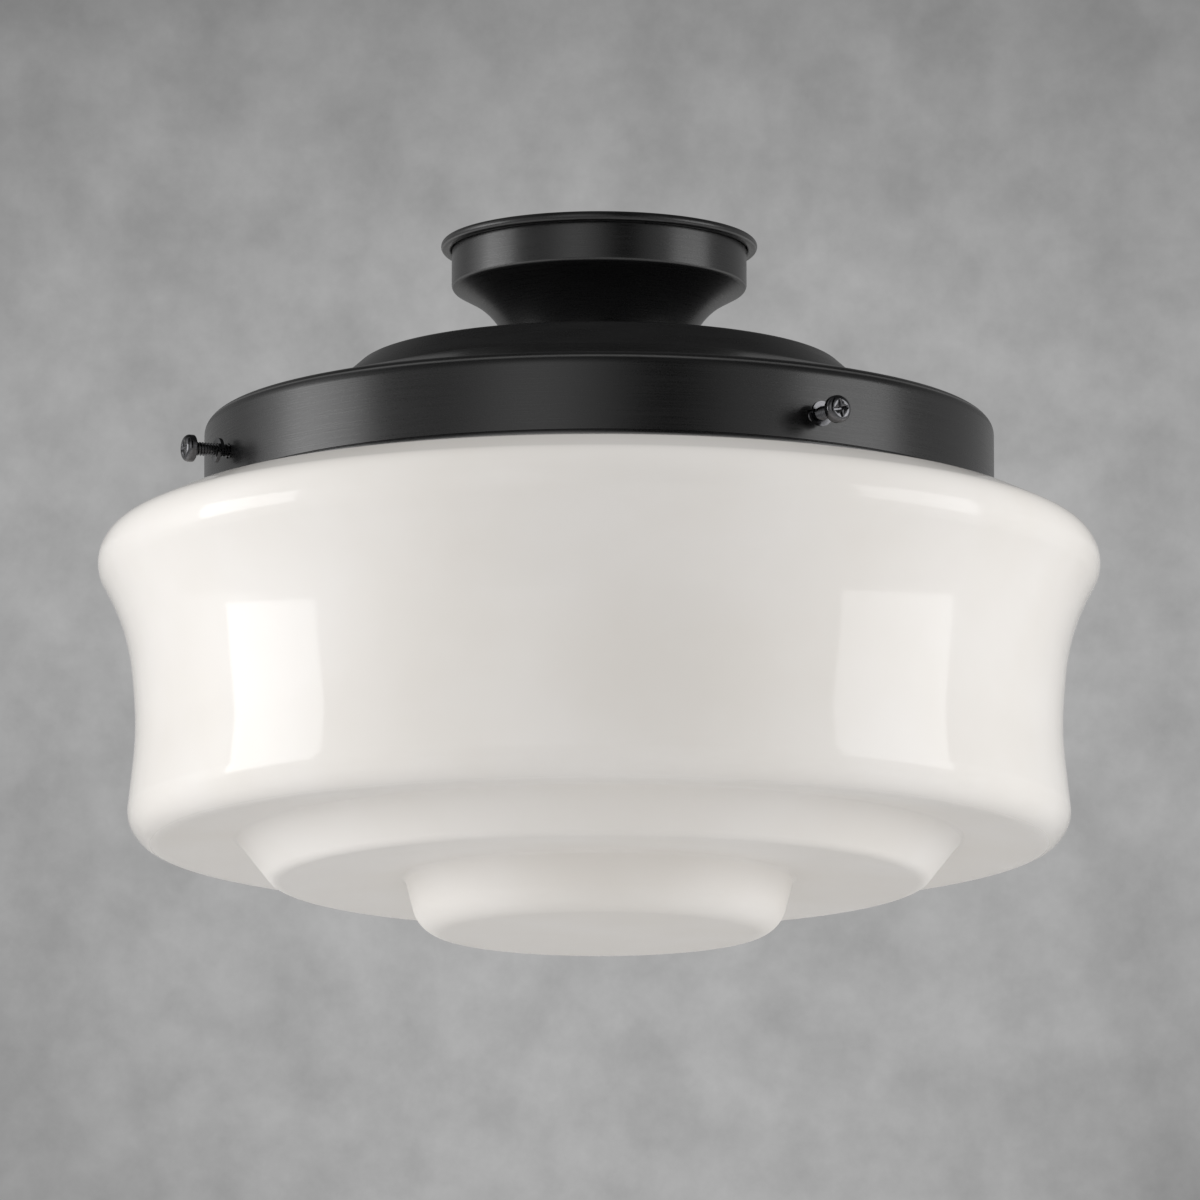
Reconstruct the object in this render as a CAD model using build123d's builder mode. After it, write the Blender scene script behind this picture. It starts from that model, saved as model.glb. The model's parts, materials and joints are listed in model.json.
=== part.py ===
from build123d import *
from math import cos, hypot, radians, sin
import os

# Semi flush ceiling light: a small canopy and a wide fitter pan on one threaded nipple,
# two lamps under a strap, and a stepped opal glass shade that hangs by its lip on three screws.
# z = 0 is the ceiling, everything hangs below it, and the front faces -Y. Millimetres.

os.makedirs("parts", exist_ok=True)

# ---- sheet metal -------------------------------------------------------------------------------
sheet = 1.2                     # wall of the canopy and of the fitter pan
snug = 0.05                     # radial clearance of a screw or tube in its threaded hole
slack = 0.3                     # clearance of a drilled hole round the nipple
rest_gap = 0.3                  # clearance between pieces that move apart
crest_start, crest_end, ridge_end = 0.32, 0.45, 0.77    # shares of a thread's pitch

# canopy, from its rolled rim down to the foot that stands on the pan: it clears the crossbar's ends
bar_clearance = 1.8             # crossbar's end to the canopy's inner face
canopy_rim_proud = 2.1          # canopy's face out to the centre of the rolled rim
canopy_bead_r = 1.7
canopy_side = 16.9              # height of the upright side
canopy_corner_fillet = 2.2
canopy_cove_inset = 16.6
canopy_cove_fall = 9.0
canopy_cove_fillet = 29.0
canopy_neck_inset = 3.4
canopy_neck_fall = 11.7
canopy_neck_fillet = 9.7
canopy_foot_inset = 1.5
canopy_foot_fall = 7.5

# fitter pan: flat dome, sloping ledge and upright band with a rolled hem
dome_r = 84.7
dome_fillet = 4.2
ledge_r = 96.3
ledge_drop = 10.3               # dome's top down to the ledge
ledge_fillet = 2.4
band_clearance = 9.1            # glass neck out to the band's outer face
band_top_drop = 22.0            # dome's top down to the corner of the band
band_fillet = 5.1
band_bottom_drop = 49.85        # dome's top down to the middle of the hem
hem_r = 1.05
hem_proud = 0.25                # how far the hem stands out of the band

# ---- glass shade -------------------------------------------------------------------------------
# each corner's place is counted from the one before it: outwards or inwards, and down or up
glass_wall = 3.8
neck_r = 131.0
lip_proud = 3.6
lip_height = 5.0
lip_edge = 2.3
neck_foot_gap = 1.5             # hem's underside down to the neck's foot
neck_foot_fillet = 4.0
seat_reach = 23.4
seat_fall = 0.4
seat_fillet = 18.0
bulge_reach = 28.8
bulge_fall = 13.0
bulge_fillet = 13.8
waist_top_inset = 16.7
waist_top_fall = 29.4
waist_top_fillet = 80.0
waist_low_inset = 3.1
waist_low_fall = 37.0
waist_low_fillet = 117.0
foot_flare = 4.7
foot_fall = 42.3
foot_fillet = 12.0
step_one_inset = 40.0
step_one_rise = 4.7
tier_one_inset = 12.8
tier_one_fall = 16.0
tier_one_fillet = 6.2
step_two_inset = 46.7
step_two_rise = 2.3
tier_two_inset = 5.1
tier_two_fall = 20.1
tier_two_fillet = 11.8
step_fillet = 2.1
bottom_fall = 0.9

# ---- shade screws, their nuts, pads and washers ------------------------------------------------
shade_screw_angles = (-68.0, 32.0, 162.0)   # round from the front towards +X
screw_rise = 9.65               # middle of the hem up to the screws' axes
screw_major_r = 2.415
screw_root_r = 1.95
screw_pitch = 1.058
screw_lead_in = 0.6
screw_head_r = 4.8
screw_head_height = 3.7
screw_head_edge = 2.0
screw_head_foot = 0.5
screw_proud = 12.9              # band's face out to the underside of the head
recess_length = 6.2
recess_width = 1.25
recess_depth = 2.3
recess_taper_angle = 8.0
recess_turn_angle = 12.0
pad_r = 2.2
pad_thickness = 1.6
pad_edge = 0.5
pad_stem_r = 0.95
pad_stem_length = 2.4
weld_nut_r = 5.0
weld_nut_seat = 2.86            # depth of the weld nut inside the band
weld_trim_height = 20.0         # height of the round cut that fits the weld nut to the band
weld_gap = 0.05                 # weld nut's face to the band's inner face
washer_bore_r = 2.5
washer_r = 4.3
washer_thickness = 1.2
washer_rise = 1.25              # how far the two ends of the spring washer stand apart
washer_turn_share = 0.95        # share of a full turn that the spring washer fills
washer_stand = 4.1              # band's face out to the middle of the washer

# ---- ceiling side: crossbar, nipple and nuts ---------------------------------------------------
bar_end = 1.3                   # end of a wide slot to the bar's end
bar_width = 22.0
bar_thickness = 2.0
bar_corner = 8.0
wide_spacing = 88.9
narrow_spacing = 69.85
slot_length = 7.5
slot_width = 4.5
nipple_r = 5.0
nipple_root_r = 4.5
nipple_bore_r = 3.3
nipple_pitch = 0.94
nipple_spare = 3.2              # thread left over below the clamp nut
nut_flats = 14.3
bar_nut_height = 3.0
clamp_nut_height = 4.5
clamp_washer_r = 9.4
clamp_washer_thickness = 1.5
washer_teeth = 12
tooth_gap_length = 2.4
tooth_gap_width = 1.1

# ---- socket bracket ----------------------------------------------------------------------------
strap_thickness = 1.5
strap_width = 20.0
strap_flat = 24.5               # half length of the part that lies against the pan
strap_step = 5.0                # how far the arms stand below that part
strap_step_run = 4.0
strap_end = 66.0
strap_fillet = 1.5
tab_width = 32.0
tab_end = 46.0

# ---- sockets -----------------------------------------------------------------------------------
socket_x = 48.0
socket_r = 19.0
socket_height = 36.0
socket_floor = 8.0
socket_edge = 1.2
mouth_r = 15.8
mouth_depth = 2.4
shell_bore_r = 13.07
shell_wall = 0.5
shell_depth = 9.2               # socket's top down to the shell's end plate
shell_length = 23.0
shell_hole_r = 7.0
tongue_width = 6.0
tongue_thickness = 0.5
tongue_outer = 9.5
tongue_bend = 4.5
tongue_drop = 2.0
tongue_fillet = 1.0
socket_screw_r = 1.7
socket_screw_reach = 10.0       # socket's axis to each of its two screws
socket_screw_grip = 7.0
socket_screw_head_r = 3.0
socket_screw_head_height = 1.9

# ---- bulbs, measured down from the tip of the centre contact -----------------------------------
tip_r = 4.8
tip_height = 1.6
tip_fillet = 1.28
insulator_r = 10.6
insulator_height = 3.6
insulator_plug = 1.3
base_crest_r = 13.0
base_root_r = 12.3
base_bore_r = 11.6
base_pitch = 3.629
base_turns = 4
base_thread_start = 7.0
base_end = 26.0
base_crest_start, base_crest_end, base_ridge_end = 0.35, 0.5, 0.85   # shares of the pitch
base_collar_gap = 1.0           # last ridge to the straight collar
base_ridge_fillet = 0.8
housing_plug_r = 11.5
housing_plug_start = 18.0
housing_neck_r = 13.3
housing_bore_r = 9.5
housing_flare_r, housing_flare_end = 21.5, 46.0
housing_rim_r, housing_end = 29.0, 60.0
housing_wall = 2.3
housing_flare_fillet = 40.0
housing_inner_fillet = 10.0
housing_bore_fillet = 5.0
led_board_thickness = 1.6
globe_flare, globe_end = 1.0, 106.0      # how far the globe widens out past its rim
globe_flat_r = 2.0                       # flat at the middle of the globe's end
globe_wall = 1.2

# ---- wiring ------------------------------------------------------------------------------------
block_x, block_y, block_height = 42.0, 20.0, 15.0
block_centre_y = 33.0
block_edge = 1.0
lead_r = 1.0
lead_clear = 0.1
lead_z = -58.0
hot_x, neutral_x = 17.0, 11.0   # leads where they enter the terminal block
lead_exit_y = 4.0
lead_seat = 3.5                 # how deep a lead goes into the socket
lead_grip = 8.0                 # how deep a lead goes into the block
bend_share = 0.45
clamp_screw_r = 1.5
clamp_screw_head_r = 2.2
clamp_screw_head_height = 1.6
driver_slot = 0.7
driver_slot_share = 3.0         # length of a driver slot's cut, in radii of the head
block_screw_r = 1.9
block_screw_head_r = 3.6
block_screw_head_height = 2.4
block_screw_sink = 1.0          # head's underside up from the block's bottom face
ground_screw_x = 18.0
ground_screw_r = 2.0
ground_screw_head_r = 4.2
ground_screw_head_height = 2.6

# ---- places that follow from the sizes above --------------------------------------------------
bar_length = wide_spacing + slot_length + 2 * bar_end
canopy_r = bar_length / 2 + bar_clearance + sheet
canopy_rim_r = canopy_r + canopy_rim_proud
canopy_cove_r = canopy_r - canopy_cove_inset
canopy_neck_r = canopy_cove_r - canopy_neck_inset
canopy_foot_r = canopy_neck_r - canopy_foot_inset
canopy_corner_z = -canopy_side
canopy_cove_z = canopy_corner_z - canopy_cove_fall
canopy_neck_z = canopy_cove_z - canopy_neck_fall
dome_z = canopy_neck_z - canopy_foot_fall
pan_under_z = dome_z - sheet
strap_z = pan_under_z - strap_thickness            # underside of the strap's middle
arm_top_z = pan_under_z - strap_step
socket_z = arm_top_z - strap_thickness             # underside of the arms, top of the sockets
clamp_nut_z = strap_z - clamp_washer_thickness
nipple_end_z = clamp_nut_z - clamp_nut_height - nipple_spare
hem_z = dome_z - band_bottom_drop
band_r = neck_r + band_clearance
shade_screw_z = hem_z + screw_rise
pad_face_r = neck_r + rest_gap
screw_end_r = pad_face_r + pad_thickness
screw_head_seat_r = band_r + screw_proud
screw_length = screw_head_seat_r - screw_end_r
weld_nut_face_r = band_r - sheet - weld_nut_seat
lip_under_z = shade_screw_z + screw_major_r + rest_gap
bulb_tip_z = socket_z - socket_floor - tongue_thickness - tongue_drop - rest_gap
globe_r = housing_rim_r + globe_flare
globe_fillet = globe_r - globe_flat_r


def crossing(point, step, other, other_step):
    # where the line through point along step meets the line through other along other_step
    across = step[0] * other_step[1] - step[1] * other_step[0]
    gap_x, gap_y = other[0] - point[0], other[1] - point[1]
    share = (gap_x * other_step[1] - gap_y * other_step[0]) / across
    return (point[0] + share * step[0], point[1] + share * step[1])


def sheet_outline(points, radii, wall):
    # closed outline of a wall: its outer face follows the points, its inner face is on their right
    steps = [(b[0] - a[0], b[1] - a[1]) for a, b in zip(points, points[1:])]
    inner_lines = []
    for point, step in zip(points, steps):
        share = wall / hypot(*step)
        inner_lines.append(((point[0] + share * step[1], point[1] - share * step[0]), step))
    ends = [(1, 0) if abs(step[1]) > abs(step[0]) else (0, 1) for step in (steps[0], steps[-1])]
    inner = [crossing(*inner_lines[0], points[0], ends[0])]
    inner += [crossing(*a, *b) for a, b in zip(inner_lines, inner_lines[1:])]
    inner.append(crossing(*inner_lines[-1], points[-1], ends[1]))
    inner_radii = []
    for before, after, radius in zip(steps, steps[1:], radii):
        turns_left = before[0] * after[1] > before[1] * after[0]
        inner_radii.append(radius + wall if turns_left else max(radius - wall, 0))
    return points + inner[::-1], [0, *radii, 0, 0, *inner_radii[::-1], 0]


def ridges(start, count, pitch, root, crest):
    # points of a thread's outline, as (distance along the axis, radius)
    outline = []
    for turn in range(count):
        at = start + turn * pitch
        outline += [(at, root), (at + crest_start * pitch, crest),
                    (at + crest_end * pitch, crest), (at + ridge_end * pitch, root)]
    return outline


def meridian(x):
    # upright plane through the axis at x, seen from the front
    return Plane(origin=(x, 0, 0), x_dir=(1, 0, 0), z_dir=(0, -1, 0))


def upright(x):
    return Axis((x, 0, 0), (0, 0, 1))


def outward(angle):
    return (sin(radians(angle)), -cos(radians(angle)), 0)


def screw_start(angle, radius):
    way = outward(angle)
    return (way[0] * radius, way[1] * radius, shade_screw_z)


def across_screw(angle, radius):
    # plane square to a shade screw's axis, facing outwards
    return Plane(origin=screw_start(angle, radius), x_dir=(0, 0, 1), z_dir=outward(angle))


def along_screw(angle, radius):
    # plane that holds a shade screw's axis: local x runs outwards, local y is its radius
    way = outward(angle)
    return Plane(origin=screw_start(angle, radius), x_dir=way, z_dir=(way[1], -way[0], 0))


def screw_axis(angle):
    return Axis(screw_start(angle, 0), outward(angle))


# ---- crossbar ----------------------------------------------------------------------------------
with BuildPart() as crossbar:
    with BuildSketch(Plane.XY.offset(-bar_thickness)):
        RectangleRounded(bar_length, bar_width, bar_corner)
        Circle(nipple_r + snug, mode=Mode.SUBTRACT)
        for spacing in (wide_spacing, narrow_spacing):
            with GridLocations(spacing, 0, 2, 1):
                SlotOverall(slot_length, slot_width, mode=Mode.SUBTRACT)
    extrude(amount=bar_thickness)
crossbar.part.label = "crossbar"
export_step(crossbar.part, "parts/crossbar.step")

with BuildPart() as crossbar_nut:
    with BuildSketch(Plane.XY.offset(-bar_thickness - bar_nut_height)):
        RegularPolygon(nut_flats / 2, 6, major_radius=False)
        Circle(nipple_r + snug, mode=Mode.SUBTRACT)
    extrude(amount=bar_nut_height)
crossbar_nut.part.label = "crossbar_nut"
export_step(crossbar_nut.part, "parts/crossbar_nut.step")

# ---- hollow threaded nipple that carries the whole light ---------------------------------------
nipple_turns = int(-nipple_end_z / nipple_pitch) - 1
with BuildPart() as nipple:
    with BuildSketch(Plane.XZ):
        with BuildLine():
            thread = [(radius, -along) for along, radius in
                      ridges(nipple_pitch / 2, nipple_turns, nipple_pitch, nipple_root_r, nipple_r)]
            Polyline((nipple_bore_r, 0), (nipple_root_r, 0), *thread,
                     (nipple_root_r, nipple_end_z), (nipple_bore_r, nipple_end_z), close=True)
        make_face()
    revolve(axis=Axis.Z)
nipple.part.label = "nipple"
export_step(nipple.part, "parts/nipple.step")

# ---- canopy ------------------------------------------------------------------------------------
canopy_points = [
    (canopy_r, 0),
    (canopy_r, canopy_corner_z),
    (canopy_cove_r, canopy_cove_z),
    (canopy_neck_r, canopy_neck_z),
    (canopy_foot_r, dome_z),
    (nipple_r + slack, dome_z),
]
canopy_fillets = [canopy_corner_fillet, canopy_cove_fillet, canopy_neck_fillet, sheet]
with BuildPart() as canopy:
    with BuildSketch(Plane.XZ):
        with BuildLine():
            outline, fillets = sheet_outline(canopy_points, canopy_fillets, sheet)
            FilletPolyline(*outline, radius=fillets, close=True)
        make_face()
        with BuildLine():
            Polyline((canopy_r - sheet, 0), (canopy_rim_r, 0), (canopy_rim_r, -sheet),
                     (canopy_r - sheet, -sheet), close=True)
        make_face()
        with Locations((canopy_rim_r, -canopy_bead_r)):
            Circle(canopy_bead_r)
    revolve(axis=Axis.Z)
canopy.part.label = "canopy"
export_step(canopy.part, "parts/canopy.step")

# ---- fitter pan --------------------------------------------------------------------------------
pan_points = [
    (nipple_r + slack, dome_z),
    (dome_r, dome_z),
    (ledge_r, dome_z - ledge_drop),
    (band_r, dome_z - band_top_drop),
    (band_r, hem_z),
]
with BuildPart() as fitter_pan:
    with BuildSketch(Plane.XZ):
        with BuildLine():
            outline, fillets = sheet_outline(pan_points, [dome_fillet, ledge_fillet, band_fillet], sheet)
            FilletPolyline(*outline, radius=fillets, close=True)
        make_face()
        with Locations((band_r + hem_proud - hem_r, hem_z)):
            Circle(hem_r)
    revolve(axis=Axis.Z)
    for angle in shade_screw_angles:
        with BuildSketch(across_screw(angle, weld_nut_face_r)):
            Circle(screw_major_r + slack)
        extrude(amount=band_r - weld_nut_face_r + sheet, mode=Mode.SUBTRACT)
    with BuildSketch(Plane.XY.offset(pan_under_z)):
        with Locations((ground_screw_x, 0)):
            Circle(ground_screw_r + snug)
    extrude(amount=sheet, mode=Mode.SUBTRACT)
fitter_pan.part.label = "fitter_pan"
export_step(fitter_pan.part, "parts/fitter_pan.step")

# ---- washer and nut that clamp bracket, pan and canopy together --------------------------------
with BuildPart() as clamp_washer:
    with BuildSketch(Plane.XY.offset(clamp_nut_z)):
        Circle(clamp_washer_r)
        Circle(nipple_r + slack, mode=Mode.SUBTRACT)
        with PolarLocations(clamp_washer_r, washer_teeth):
            Rectangle(tooth_gap_length, tooth_gap_width, mode=Mode.SUBTRACT)
    extrude(amount=clamp_washer_thickness)
clamp_washer.part.label = "clamp_washer"
export_step(clamp_washer.part, "parts/clamp_washer.step")

with BuildPart() as clamp_nut:
    with BuildSketch(Plane.XY.offset(clamp_nut_z - clamp_nut_height)):
        RegularPolygon(nut_flats / 2, 6, major_radius=False)
        Circle(nipple_r + snug, mode=Mode.SUBTRACT)
    extrude(amount=clamp_nut_height)
clamp_nut.part.label = "clamp_nut"
export_step(clamp_nut.part, "parts/clamp_nut.step")

# ---- socket bracket: a strap with stepped arms and a tab for the terminal block ----------------
strap_points = [
    (-strap_end, arm_top_z),
    (-strap_flat - strap_step_run, arm_top_z),
    (-strap_flat, pan_under_z),
    (strap_flat, pan_under_z),
    (strap_flat + strap_step_run, arm_top_z),
    (strap_end, arm_top_z),
]
with BuildPart() as socket_bracket:
    with BuildSketch(Plane.XZ):
        with BuildLine():
            outline, fillets = sheet_outline(strap_points, [strap_fillet] * 4, strap_thickness)
            FilletPolyline(*outline, radius=fillets, close=True)
        make_face()
    extrude(amount=strap_width / 2, both=True)
    with BuildSketch(Plane.XY.offset(strap_z)):
        with Locations((0, tab_end / 2)):
            Rectangle(tab_width, tab_end)
    extrude(amount=strap_thickness)
    with BuildSketch(Plane.XY.offset(socket_z)):
        Circle(nipple_r + slack)
        with Locations((0, block_centre_y)):
            Circle(block_screw_r + snug)
        with Locations((ground_screw_x, 0)):
            Circle(ground_screw_r + snug)
        with GridLocations(2 * socket_x, 0, 2, 1):
            with GridLocations(2 * socket_screw_reach, 0, 2, 1):
                Circle(socket_screw_r + snug)
    extrude(amount=pan_under_z - socket_z, mode=Mode.SUBTRACT)
socket_bracket.part.label = "socket_bracket"
export_step(socket_bracket.part, "parts/socket_bracket.step")

with BuildPart() as ground_screw:
    with BuildSketch(Plane.XY.offset(strap_z - ground_screw_head_height)):
        with Locations((ground_screw_x, 0)):
            RegularPolygon(ground_screw_head_r, 6)
            Rectangle(driver_slot_share * ground_screw_head_r, driver_slot, mode=Mode.SUBTRACT)
    extrude(amount=ground_screw_head_height)
    with BuildSketch(Plane.XY.offset(strap_z - ground_screw_head_height / 2)):
        with Locations((ground_screw_x, 0)):
            Circle(ground_screw_r)
    extrude(amount=ground_screw_head_height / 2 + strap_thickness + sheet - snug)
ground_screw.part.label = "ground_screw"
export_step(ground_screw.part, "parts/ground_screw.step")

# ---- sockets -----------------------------------------------------------------------------------
for number, x in enumerate((-socket_x, socket_x), 1):
    inner_side = 1 if x < 0 else -1
    with BuildPart() as socket_body:
        with BuildSketch(meridian(x)):
            with BuildLine():
                FilletPolyline(
                    (0, socket_z),
                    (socket_r, socket_z),
                    (socket_r, socket_z - socket_height),
                    (mouth_r, socket_z - socket_height),
                    (shell_bore_r + shell_wall + snug, socket_z - socket_height + mouth_depth),
                    (shell_bore_r + shell_wall + snug, socket_z - socket_floor),
                    (0, socket_z - socket_floor),
                    radius=[0, socket_edge, socket_edge, 0, 0, 0, 0],
                    close=True,
                )
            make_face()
        revolve(axis=upright(x))
        with BuildSketch(Plane.XY.offset(socket_z)):
            with Locations((x, 0)):
                with GridLocations(2 * socket_screw_reach, 0, 2, 1):
                    Circle(socket_screw_r + snug)
        extrude(amount=-socket_screw_grip - snug, mode=Mode.SUBTRACT)
        # two blind holes for the leads, open towards the middle of the light
        hole_end = x + inner_side * ((socket_r ** 2 - lead_exit_y ** 2) ** 0.5 - lead_seat)
        with BuildSketch(Plane(origin=(hole_end, 0, lead_z), x_dir=(0, 1, 0), z_dir=(inner_side, 0, 0))):
            with GridLocations(2 * lead_exit_y, 0, 2, 1):
                Circle(lead_r + lead_clear)
        extrude(amount=socket_r, mode=Mode.SUBTRACT)
    socket_body.part.label = f"socket_body_{number}"
    export_step(socket_body.part, f"parts/socket_body_{number}.step")

    with BuildPart() as screw_shell:
        with BuildSketch(meridian(x)):
            with BuildLine():
                shell_top = socket_z - shell_depth
                shell_points = [
                    (shell_hole_r, shell_top),
                    (shell_bore_r + shell_wall, shell_top),
                    (shell_bore_r + shell_wall, shell_top - shell_length),
                ]
                outline, fillets = sheet_outline(shell_points, [2 * shell_wall], shell_wall)
                FilletPolyline(*outline, radius=fillets, close=True)
            make_face()
        revolve(axis=upright(x))
    screw_shell.part.label = f"screw_shell_{number}"
    export_step(screw_shell.part, f"parts/screw_shell_{number}.step")

    with BuildPart() as centre_contact:
        with BuildSketch(meridian(x)):
            with BuildLine():
                floor_z = socket_z - socket_floor
                tongue_points = [
                    (-tongue_outer, floor_z),
                    (-tongue_bend, floor_z),
                    (-tongue_thickness, floor_z - tongue_drop),
                    (tongue_bend / 2, floor_z - tongue_drop),
                ]
                outline, fillets = sheet_outline(tongue_points, [tongue_fillet] * 2, tongue_thickness)
                FilletPolyline(*outline, radius=fillets, close=True)
            make_face()
        extrude(amount=tongue_width / 2, both=True)
    centre_contact.part.label = f"centre_contact_{number}"
    export_step(centre_contact.part, f"parts/centre_contact_{number}.step")

with BuildPart() as socket_screws:
    for x in (-socket_x, socket_x):
        for reach in (-socket_screw_reach, socket_screw_reach):
            with BuildSketch(Plane.XY.offset(arm_top_z)):
                with Locations((x + reach, 0)):
                    Circle(socket_screw_head_r)
            extrude(amount=socket_screw_head_height)
            with BuildSketch(Plane.XY.offset(arm_top_z + socket_screw_head_height)):
                with Locations((x + reach, 0)):
                    Rectangle(driver_slot_share * socket_screw_head_r, driver_slot)
            extrude(amount=-socket_screw_head_height / 2, mode=Mode.SUBTRACT)
            with BuildSketch(Plane.XY.offset(arm_top_z)):
                with Locations((x + reach, 0)):
                    Circle(socket_screw_r)
            extrude(amount=-strap_thickness - socket_screw_grip)
socket_screws.part.label = "socket_screws"
export_step(socket_screws.part, "parts/socket_screws.step")

# ---- terminal block and its screws -------------------------------------------------------------
block_top_z = strap_z
block_bottom_z = block_top_z - block_height
block_front_y = block_centre_y - block_y / 2
clamp_spots = [(side * x, block_front_y + lead_grip / 2) for side in (-1, 1) for x in (hot_x, neutral_x)]
clamp_spots += [(side * neutral_x, block_front_y + block_y - lead_grip / 2) for side in (-1, 1)]
with BuildPart() as terminal_block:
    with BuildSketch(Plane.XY.offset(block_bottom_z)):
        with Locations((0, block_centre_y)):
            RectangleRounded(block_x, block_y, block_edge)
    extrude(amount=block_height)
    with BuildSketch(Plane(origin=(0, block_front_y, lead_z), x_dir=(1, 0, 0), z_dir=(0, -1, 0))):
        for x in (hot_x, neutral_x):
            with GridLocations(2 * x, 0, 2, 1):
                Circle(lead_r + lead_clear)
    extrude(amount=-lead_grip, mode=Mode.SUBTRACT)
    with BuildSketch(Plane(origin=(0, block_front_y + block_y, lead_z), x_dir=(1, 0, 0), z_dir=(0, -1, 0))):
        with GridLocations(2 * neutral_x, 0, 2, 1):
            Circle(lead_r + lead_clear)
    extrude(amount=lead_grip, mode=Mode.SUBTRACT)
    with BuildSketch(Plane.XY.offset(block_bottom_z)):
        with Locations(*clamp_spots):
            Circle(clamp_screw_head_r + snug)
    extrude(amount=clamp_screw_head_height, mode=Mode.SUBTRACT)
    with BuildSketch(Plane.XY.offset(block_bottom_z)):
        with Locations(*clamp_spots):
            Circle(clamp_screw_r + snug)
    extrude(amount=lead_z - block_bottom_z, mode=Mode.SUBTRACT)
    with BuildSketch(Plane.XY.offset(block_bottom_z)):
        with Locations((0, block_centre_y)):
            Circle(block_screw_r + snug)
    extrude(amount=block_height, mode=Mode.SUBTRACT)
    with BuildSketch(Plane.XY.offset(block_bottom_z)):
        with Locations((0, block_centre_y)):
            Circle(block_screw_head_r + snug)
    extrude(amount=block_screw_head_height + block_screw_sink, mode=Mode.SUBTRACT)
terminal_block.part.label = "terminal_block"
export_step(terminal_block.part, "parts/terminal_block.step")

with BuildPart() as terminal_screws:
    with BuildSketch(Plane.XY.offset(block_bottom_z)):
        with Locations(*clamp_spots):
            Circle(clamp_screw_head_r)
            Rectangle(driver_slot_share * clamp_screw_head_r, driver_slot, mode=Mode.SUBTRACT)
    extrude(amount=clamp_screw_head_height / 2)
    with BuildSketch(Plane.XY.offset(block_bottom_z + clamp_screw_head_height / 2)):
        with Locations(*clamp_spots):
            Circle(clamp_screw_head_r)
    extrude(amount=clamp_screw_head_height / 2)
    with BuildSketch(Plane.XY.offset(block_bottom_z + clamp_screw_head_height)):
        with Locations(*clamp_spots):
            Circle(clamp_screw_r)
    extrude(amount=lead_z - lead_r - lead_clear - block_bottom_z - clamp_screw_head_height)
terminal_screws.part.label = "terminal_screws"
export_step(terminal_screws.part, "parts/terminal_screws.step")

block_screw_z = block_bottom_z + block_screw_sink
with BuildPart() as block_screw:
    with BuildSketch(Plane.XY.offset(block_screw_z)):
        with Locations((0, block_centre_y)):
            Circle(block_screw_head_r)
            Rectangle(driver_slot_share * block_screw_head_r, driver_slot, mode=Mode.SUBTRACT)
    extrude(amount=block_screw_head_height / 2)
    with BuildSketch(Plane.XY.offset(block_screw_z + block_screw_head_height / 2)):
        with Locations((0, block_centre_y)):
            Circle(block_screw_head_r)
    extrude(amount=block_screw_head_height / 2)
    with BuildSketch(Plane.XY.offset(block_screw_z + block_screw_head_height)):
        with Locations((0, block_centre_y)):
            Circle(block_screw_r)
    extrude(amount=pan_under_z - block_screw_z - block_screw_head_height)
block_screw.part.label = "block_screw"
export_step(block_screw.part, "parts/block_screw.step")

# ---- leads from the terminal block to the sockets ----------------------------------------------
socket_side_x = socket_x - (socket_r ** 2 - lead_exit_y ** 2) ** 0.5
for number, side in enumerate((-1, 1), 1):
    for pole, x, y in (("hot", hot_x, lead_exit_y), ("neutral", neutral_x, -lead_exit_y)):
        route = [
            (side * (socket_side_x + lead_seat), y, lead_z),
            (side * x, y, lead_z),
            (side * x, block_front_y + lead_grip, lead_z),
        ]
        runs = [(Vector(*b) - Vector(*a)).length for a, b in zip(route, route[1:])]
        bend = bend_share * min(runs)
        print(f"lead {pole} {number}: bend radius {bend:.1f} mm, runs {runs[0]:.1f} and {runs[1]:.1f} mm")
        with BuildPart() as lead:
            with BuildLine() as line:
                FilletPolyline(*route, radius=bend)
            with BuildSketch(Plane(origin=line.line @ 0, z_dir=line.line % 0)):
                Circle(lead_r)
            sweep()
        lead.part.label = f"lead_{pole}_{number}"
        export_step(lead.part, f"parts/lead_{pole}_{number}.step")

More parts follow.
